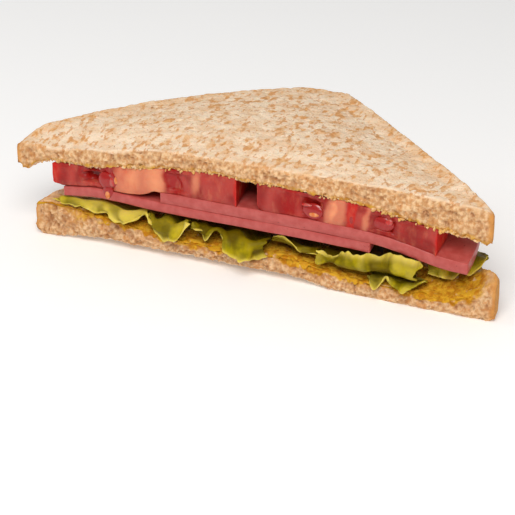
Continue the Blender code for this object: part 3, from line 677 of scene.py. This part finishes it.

# Each leaf: its ends along the cut, at the margin and where it ends inside, how far in it reaches,
# its turn as a share of that and a height, its margin as depths and heights, and its tones: pale and
# dark shares, the band of its pale margin, and deep, the painted shade inwards under the polony.
LEAVES = {
    "left": dict(
        front_x=(-60.5, -29.5), back_x=(-46, -28), reach=(13, 21), turn=(0.16, 14.4), folds=1.5,
        margin=[(0.4, 12.4), (-0.8, 12.2), (-1.0, 11.9), (-1.2, 11.4), (-2.8, 9.6), (0.8, 12.6)],
        ruffle=0.45, pale=0.4, dark=0.0, deep=0.1,
    ),
    "curl": dict(
        front_x=(-28.4, -15.4), back_x=(-26.5, -16), reach=(20, 21), turn=(0.18, 13.4), folds=1.2,
        margin=[(0.4, 13.4), (-3.2, 9.0), (-3.9, 8.0), (-3.9, 7.6), (-3.6, 8.2), (0.2, 13.0)],
        ruffle=0.8, pale=0.1, dark=0.1, deep=0.4,
    ),
    "frill": dict(
        front_x=(-13.6, 10.0), back_x=(-14.5, 9.6), reach=(21, 23), turn=(0.16, 12.8), folds=2,
        margin=[(0.6, 12.6), (-1.4, 9.8), (0.4, 12.2), (-2.4, 8.6), (-3.6, 6.4), (-3.4, 6.5),
                (-1.6, 8.4)],
        ruffle=0.9, pale=0.0, dark=0.3,
    ),
    "dark": dict(
        front_x=(11.6, 26.0), back_x=(11, 25), reach=(22, 22), turn=(0.16, 11.6), folds=1,
        margin=[(0.8, 13.4), (0.3, 12.6), (0.2, 10.6), (0.4, 10.8)], ruffle=0.4, pale=0, dark=0.55,
    ),
    "large": dict(
        front_x=(27.4, 57.5), back_x=(27, 50), reach=(22, 17), turn=(0.03, 8.6), folds=1.5,
        margin=[(0.8, 11.4), (0.0, 14.2), (-0.2, 14.6), (0.2, 15.6), (0.8, 14.6)],
        bulge=2.4, lift=1.6, ruffle=0.6, pale=0.0, dark=0.35, band=0.13, deep=0.6,
    ),
    "edge": dict(
        front_x=(41.4, 58.4), back_x=(43, 56.6), reach=(3.4, 4.4), turn=(0.7, 7.4), folds=0,
        margin=[(0.4, 6.9), (-2.0, 5.4), (-0.2, 7.2), (-2.0, 5.9), (-2.4, 5.3), (-1.4, 6.4),
                (1.8, 8.4)],
        room=0.1, ruffle=0.3, pale=0.15, dark=0.1, deep=0.5,
    ),
    "right": dict(
        front_x=(58.4, 74.4), back_x=(52.5, 69), reach=(25, 20.5), turn=(0.35, 13.6), folds=1,
        margin=[(4.6, 8.8), (5.0, 9.2), (6.4, 10.6), (9.4, 15.4)], rise=4, ruffle=0.5, pale=0.1,
        dark=0.1, deep=0.4,
    ),
    "back_left": dict(
        front_x=(-57, -12), back_x=(-44, -8), reach=(24, 40), turn=(0.3, 12), folds=3, rise=5,
        margin=[(19, 15), (25, 17.5), (32, 14.5), (40, 18.5), (46, 15), (53, 18.5), (60, 15.5)],
        ruffle=0.7, pale=0.1, dark=0.1,
    ),
    "back_right": dict(
        front_x=(56, 3), back_x=(43, 7), reach=(27, 45), turn=(0.3, 12), folds=3, rise=5,
        margin=[(28, 14), (36, 15), (44, 14), (53, 18), (60, 15), (66, 18.5), (70, 15.5)],
        ruffle=0.7, pale=0.1, dark=0.1,
    ),
}


def curve(points, x):
    """Heights at x on a smooth curve through points, a cubic with the slopes of its neighbours."""
    px, pz = points[:, 0], points[:, 1]
    slope = np.gradient(pz, px)
    x = np.clip(x, px[0], px[-1])
    k = np.clip(np.searchsorted(px, x) - 1, 0, len(px) - 2)
    h = px[k + 1] - px[k]
    t = (x - px[k]) / h
    start = (2 * t**3 - 3 * t**2 + 1) * pz[k] + (t**3 - 2 * t**2 + t) * h * slope[k]
    return start + (3 * t**2 - 2 * t**3) * pz[k + 1] + (t**3 - t**2) * h * slope[k + 1]


def sheet_normals(sheet):
    """The unit normals of a grid of points, from its two directions' differences."""
    normal = np.cross(np.gradient(sheet, axis=0), np.gradient(sheet, axis=1))
    return normal / np.maximum(np.linalg.norm(normal, axis=2, keepdims=True), 1e-9)


def leaf_points(front_x, back_x, margin, reach, turn, folds, ruffle, seed,
                bulge=0, lift=0, room=0.97, rise=0):
    """The middle surface of a leaf: u runs across it and v from its margin to its hidden end.

    Each column is a curve through the margin, the belly, the turn and the end. Behind the turn the
    leaf waves between the bread and the polony. Ruffles are noise along the margin that fades
    inwards, and the margin and the two sides are scalloped. Also gives how far each point stands on
    a ridge of the ruffles, as seen from the cut.
    """
    u = np.linspace(0, 1, LEAF_GRID[0])
    v = LEAF_DOWN
    along = np.linspace(0, 1, len(margin))
    edge_y, edge_z = [curve(np.stack([along, np.array(margin)[:, k]], 1), u) for k in (0, 1)]
    end_y = reach[0] + (reach[1] - reach[0]) * u
    turn_y = edge_y + (end_y - edge_y) * turn[0]
    turn_z = np.full_like(u, turn[1])
    belly_y = edge_y + 0.2 * (turn_y - edge_y) - bulge
    belly_z = edge_z + 0.6 * (turn_z - edge_z)

    def cross(rows):
        """Each column's curve down v, through its four values."""
        return np.array([curve(np.stack([LEAF_PLACES, column], 1), v) for column in np.array(rows).T])

    y = cross([edge_y, belly_y, turn_y, end_y])
    z = cross([edge_z, belly_z, turn_z, turn_z])
    wide_x = (front_x[0] + (front_x[1] - front_x[0]) * u)[:, None]
    end_x = (back_x[0] + (back_x[1] - back_x[0]) * u)[:, None]
    x = wide_x + (end_x - wide_x) * v**1.3
    ripple = noise(np.stack([25 * v + 0 * x, 0 * x, 0 * x + seed], -1), 1.8, seed + 4, 2)
    x = x + SIDE_RIPPLE * ripple * (ease(0.15, 0, u) + ease(0.85, 1, u))[:, None]
    inwards = ease(0, LEVEL_DEPTH, y)
    floor = curve(BREAD_EDGE, x) * (1 - inwards) + BREAD_LEVEL * inwards + LEAF_CLEARANCE
    ceiling = curve(POLONY_EDGE, x) * (1 - inwards) + POLONY_LEVEL * inwards - LEAF_CLEARANCE
    floor = floor + lift * (1 - ease(4.5, 7.5, y))
    wave = np.sin(2 * math.pi * folds * u[:, None] + 3 * v + front_x[0])
    flat = np.stack([x, y, 0 * x], -1)
    share = 0.5 + 0.36 * wave + 0.2 * noise(flat, 6, seed)
    inner = floor + (ceiling - floor) * np.clip(share, 0.03, 0.97) * room
    behind = ease(0.3, 0.55, v)
    z = z * (1 - behind) + inner * behind
    inside = ease(0.2, 1.4, y)
    top = np.maximum(ceiling, floor) + rise * (1 - ease(0, 0.2, v))
    z = z * (1 - inside) + np.clip(z, floor, top) * inside
    sheet = np.stack([x, y, z], -1)
    lines = np.stack([x, 5 * v + 0 * x, 0 * x + seed], -1)
    scallop = SCALLOP * noise(lines * (1, 0, 1), 2.8, seed + 3, 2) * (1 - ease(0, 0.16, v))
    inward_step = sheet[:, 5:6] - sheet[:, :1]
    inward_step /= np.maximum(np.linalg.norm(inward_step, axis=2, keepdims=True), 1e-9)
    strength = ruffle * (1 - ease(0, 0.6, v)) + 0.15
    slow = SLOW_RUFFLE * noise(lines, SLOW_LENGTH, seed + 1)
    waves = slow + QUICK_RUFFLE * noise(lines, QUICK_LENGTH, seed + 2) * (1 - ease(0, 0.4, v))
    normal = sheet_normals(sheet)
    ridges = waves * np.sign(-normal[..., 1])
    return sheet + normal * (strength * waves)[..., None] + inward_step * scallop[..., None], ridges


def closed_sheet(name, sheet, half_thickness):
    """A thin closed solid: the sheet moved both ways along its normals, joined at the rim."""
    normal = sheet_normals(sheet)
    rows, cols = sheet.shape[:2]
    ids = np.arange(rows * cols).reshape(rows, cols)
    quads = np.stack([ids[:-1, :-1], ids[1:, :-1], ids[1:, 1:], ids[:-1, 1:]], -1).reshape(-1, 4)
    rim = np.concatenate([ids[:, 0], ids[-1, 1:], ids[-2::-1, -1], ids[0, -2:0:-1]])
    after = np.roll(rim, -1)
    count = rows * cols
    wall = np.stack([rim, rim + count, after + count, after], 1)
    sides = [sheet + normal * half_thickness, sheet - normal * half_thickness]
    points = np.concatenate(sides).reshape(-1, 3)
    faces = np.concatenate([quads, quads[:, ::-1] + count, wall])
    mesh = bpy.data.meshes.new(name)
    mesh.from_pydata(points.tolist(), [], faces.tolist())
    work = bmesh.new()
    work.from_mesh(mesh)
    bmesh.ops.recalc_face_normals(work, faces=work.faces)
    work.to_mesh(mesh)
    work.free()
    return new_object(name, mesh), points


def lettuce_material():
    """Green that turns yellow and pale towards the margin, with a faint net of ribs. The pale share adds a
    painted highlight on ruffle crests; the dark share is mostly painted shade.
    """
    material, tree, shader, place = new_material("lettuce_leaf", 0.45, 0.3, (1.0, 0.8, 0.05), 1.2)
    shader.inputs["Specular IOR Level"].default_value = 0.06
    leaf_place = node(tree, "Attribute", attribute_name="leaf_place").outputs["Vector"]
    inside = attribute(tree, "inside")
    cloud = above(tree, grain(tree, place, 4, 3), 0.38, 0.62)
    colour = mixed(tree, cloud, LEAF_GREEN, LEAF_YELLOW)
    net = node(tree, "TexVoronoi", {"Vector": leaf_place, "Scale": 0.22}, feature="DISTANCE_TO_EDGE")
    ribs = above(tree, net.outputs["Distance"], 0.1, 0.0)
    colour = mixed(tree, times(tree, ribs, 0.25), colour, LEAF_YELLOW)
    # The pale share is the leaf's own paleness and a painted highlight on ruffle crests; the dark share
    # mixes in a darker green: mostly painted shade, inwards and in the troughs, plus each leaf's darker
    # patches.
    colour = mixed(tree, attribute(tree, "pale"), colour, LEAF_PALE)
    colour = mixed(tree, attribute(tree, "dark"), colour, LEAF_SHADE)
    rim = above(tree, inside, 0.02, 0.0)
    colour = mixed(tree, times(tree, rim, 0.8), colour, LEAF_PALE)
    tree.links.new(colour, shader.inputs["Base Color"])
    puffed = above(tree, net.outputs["Distance"], 0.0, 0.35)
    height = times(tree, times(tree, puffed, 0.5), grain(tree, place, 1.6, 3, seed=3), "ADD")
    add_bump(tree, shader, height, 0.4, 0.5)
    return material


lettuce = lettuce_material()
for number, (leaf_name, leaf) in enumerate(LEAVES.items()):
    shape = {key: value for key, value in leaf.items() if key not in ("pale", "dark", "band", "deep")}
    seed = 80 + 3 * number
    leaf_sheet, ridges = leaf_points(seed=seed, **shape)
    across = np.linspace(0, abs(leaf["front_x"][1] - leaf["front_x"][0]), LEAF_GRID[0])[:, None]
    down = LEAF_DOWN[None]
    half = LEAF_THICKNESS / 2 * (0.4 + 0.6 * ease(0, 0.1, down)) + 0 * across
    obj, points = closed_sheet(f"leaf_{leaf_name}", leaf_sheet, half[..., None])
    patches = noise(leaf_sheet, 5, seed + 5, 2)
    margin_light = ease(leaf.get("band", MARGIN_BAND) * (1 + 0.5 * patches), 0, down)
    # Painted light: ruffle crests that bulge towards the cut get a painted highlight, troughs painted shade,
    # and deep adds painted shade inwards under the polony.
    lit = 0.3 * ease(0.2, 1.1, ridges)
    shaded = 0.55 * ease(0.1, -0.9, ridges)
    pale = np.clip(leaf["pale"] * (1 + patches) + 0.75 * margin_light + lit, 0, 1)
    dark = leaf["dark"] * (0.8 + 1.4 * patches) + leaf.get("deep", 0.7) * ease(0.16, 0.45, down) + shaded
    dark = np.clip(dark, 0, 1) * (1 - margin_light)
    place = np.stack([across + 0 * down, 22 * down + 0 * across, 0 * across + number + 0 * down], -1)
    finish_piece(
        obj, points, lettuce, "lettuce", [f"lettuce_{leaf_name}"],
        inside=np.tile((down + 0 * across).ravel(), 2), pale=np.tile(pale.ravel(), 2),
        dark=np.tile(dark.ravel(), 2), leaf_place=np.tile(place.reshape(-1, 3), (2, 1)),
    )

# --- Spread -----------------------------------------------------------------------------------
# A thin film of yellow spread on the bottom slice, thick in some places and bare in others. At the
# cut the knife dragged it over the edge in short drips.

SPREAD_YELLOW = (0.66, 0.34, 0.015)
SPREAD_DEEP = (0.48, 0.19, 0.004)
FILM_SPAN = (-66, 74)
FILM_GRID = (281, 31)
FILM_DEPTH = 9.0
FILM_HEIGHT = 0.4
FILM_HALF_THICKNESS = 0.12
DRIP_LENGTH = 1.8


def spread_material():
    """Yellow with deeper patches, soft and slightly grainy."""
    material, tree, shader, place = new_material("yellow_spread", 0.5, 0.3, (1.0, 0.6, 0.05), 1)
    shader.inputs["Specular IOR Level"].default_value = 0.15
    colour = mixed(tree, above(tree, grain(tree, place, 2.5, 3), 0.38, 0.62), SPREAD_YELLOW, SPREAD_DEEP)
    tree.links.new(colour, shader.inputs["Base Color"])
    add_bump(tree, shader, grain(tree, place, 0.8, 3, seed=4), 0.5, 0.4)
    return material


def spread_film():
    """The film: v from -1 to 0 runs up the drips in front of the cut, and from 0 to 1 inwards.

    Its height over the bread is noise times the share of spread there, and it dips under the
    crumb where that is low.
    """
    x = np.linspace(*FILM_SPAN, FILM_GRID[0])[:, None]
    v = np.linspace(-1, 1, FILM_GRID[1])[None]
    inwards = np.clip(v, 0, 1) * FILM_DEPTH + 0 * x
    share = np.interp(x, *SPREAD_SHARE.T) + 0 * v
    line = np.stack([x, 0 * x, 0 * x], -1)
    drip = 0.3 + DRIP_LENGTH * share * ease(0.0, 0.8, noise(line, 2.0, 31, 2))
    edge = np.interp(x, bottom_edges[:, 0], bottom_edges[:, 2]) + 0 * v
    blend = ease(0, LEVEL_DEPTH, inwards)
    top = edge * (1 - blend) + BREAD_LEVEL * blend
    there = noise(np.stack([x + 0 * v, inwards, 0 * edge], -1), 3.2, 32, 2)
    thick = FILM_HEIGHT * (share * 1.2 - 1.7 + 1.3 * there - 0.6 * ease(5, 9, inwards))
    thick = np.clip(thick, -0.9, 0.5)
    down = np.clip(-v, 0, 1)
    z = top + thick * (1 - down) - down * drip
    hanging = ease(0, 0.3, down)
    y = inwards - hanging * (0.2 + 0.9 * thick) + 0.3 * (1 - hanging) * (v <= 0)
    return np.stack([x + 0 * v, y, z], -1)


film_obj, film_points = closed_sheet("spread_film", spread_film(), FILM_HALF_THICKNESS)
finish_piece(film_obj, film_points, spread_material(), "bread")

# --- Table, light and camera ------------------------------------------------------------------
# A plain pale table. A large soft lamp lights it from above the front and a weaker one from the
# left, and a pale surround fills the shadows.

REACH = 2.0
TABLE_GLOW = 0.12
SURROUND_LIGHT = 0.4
CORNERS = [(-REACH, -REACH, 0), (REACH, -REACH, 0), (REACH, REACH, 0), (-REACH, REACH, 0)]
floor_mesh = bpy.data.meshes.new("table")
floor_mesh.from_pydata(CORNERS, [], [(0, 1, 2, 3)])
floor_material, _, floor_shader, _ = new_material("pale_table", 0.6)
floor_shader.inputs["Base Color"].default_value = (0.95, 0.95, 0.95, 1)
floor_shader.inputs["Emission Color"].default_value = (1, 1, 1, 1)
floor_shader.inputs["Emission Strength"].default_value = TABLE_GLOW
floor_mesh.materials.append(floor_material)
new_object("table", floor_mesh)


def soft_light(name, place, aim, size, power, colour=(1, 1, 1)):
    """A square lamp at place, turned to aim, both in metres."""
    lamp = bpy.data.lights.new(name, "AREA")
    lamp.size = size
    lamp.energy = power
    lamp.color = colour
    obj = new_object(name, lamp)
    obj.location = place
    obj.rotation_euler = (Vector(aim) - Vector(place)).to_track_quat("-Z", "Y").to_euler()


SANDWICH_MIDDLE = (0, 0, 0.02)
soft_light("key", (0.15, -0.5, 0.6), SANDWICH_MIDDLE, size=0.4, power=4.4, colour=(1, 0.97, 0.93))
soft_light("side", (-0.7, -0.1, 0.35), SANDWICH_MIDDLE, size=0.4, power=0.9)
world = bpy.data.worlds.new("surround")
world.use_nodes = True
world.node_tree.nodes["Background"].inputs[0].default_value = (1, 1, 1, 1)
world.node_tree.nodes["Background"].inputs[1].default_value = SURROUND_LIGHT
bpy.context.scene.world = world
bpy.context.scene.view_settings.view_transform = "Standard"

# The camera stands at this azimuth, elevation and distance from TARGET, and is turned so that
# TARGET falls on TARGET_PIXEL.
AZIMUTH, ELEVATION = math.radians(23.5), math.radians(24.2)
CAMERA_DISTANCE = 0.550
SENSOR_WIDTH = 36
FOCAL_PIXELS = 1826
FRAME_PIXELS = 515
TARGET_PIXEL = np.array([268.5, 184.7])
TARGET = (np.array([0, 25, 18]) + CUT_MIDDLE) * MM
back = np.array([
    math.sin(AZIMUTH) * math.cos(ELEVATION), -math.cos(AZIMUTH) * math.cos(ELEVATION), math.sin(ELEVATION)
])
right = np.array([math.cos(AZIMUTH), math.sin(AZIMUTH), 0])
up = np.cross(back, right)
off_x, off_y = FRAME_PIXELS / 2 - TARGET_PIXEL
sight = -back * FOCAL_PIXELS + right * off_x - up * off_y
camera_z = -sight / np.linalg.norm(sight)
camera_x = right - camera_z * (right @ camera_z)
camera_x /= np.linalg.norm(camera_x)
camera_y = np.cross(camera_z, camera_x)
camera = bpy.data.cameras.new("camera")
camera.sensor_width = SENSOR_WIDTH
camera.lens = SENSOR_WIDTH * FOCAL_PIXELS / FRAME_PIXELS
camera.clip_start = 0.01
camera_object = new_object("camera", camera)
turned = Matrix(np.stack([camera_x, camera_y, camera_z], 1).tolist()).to_4x4()
camera_object.matrix_world = Matrix.Translation(Vector(TARGET + back * CAMERA_DISTANCE)) @ turned
bpy.context.scene.camera = camera_object
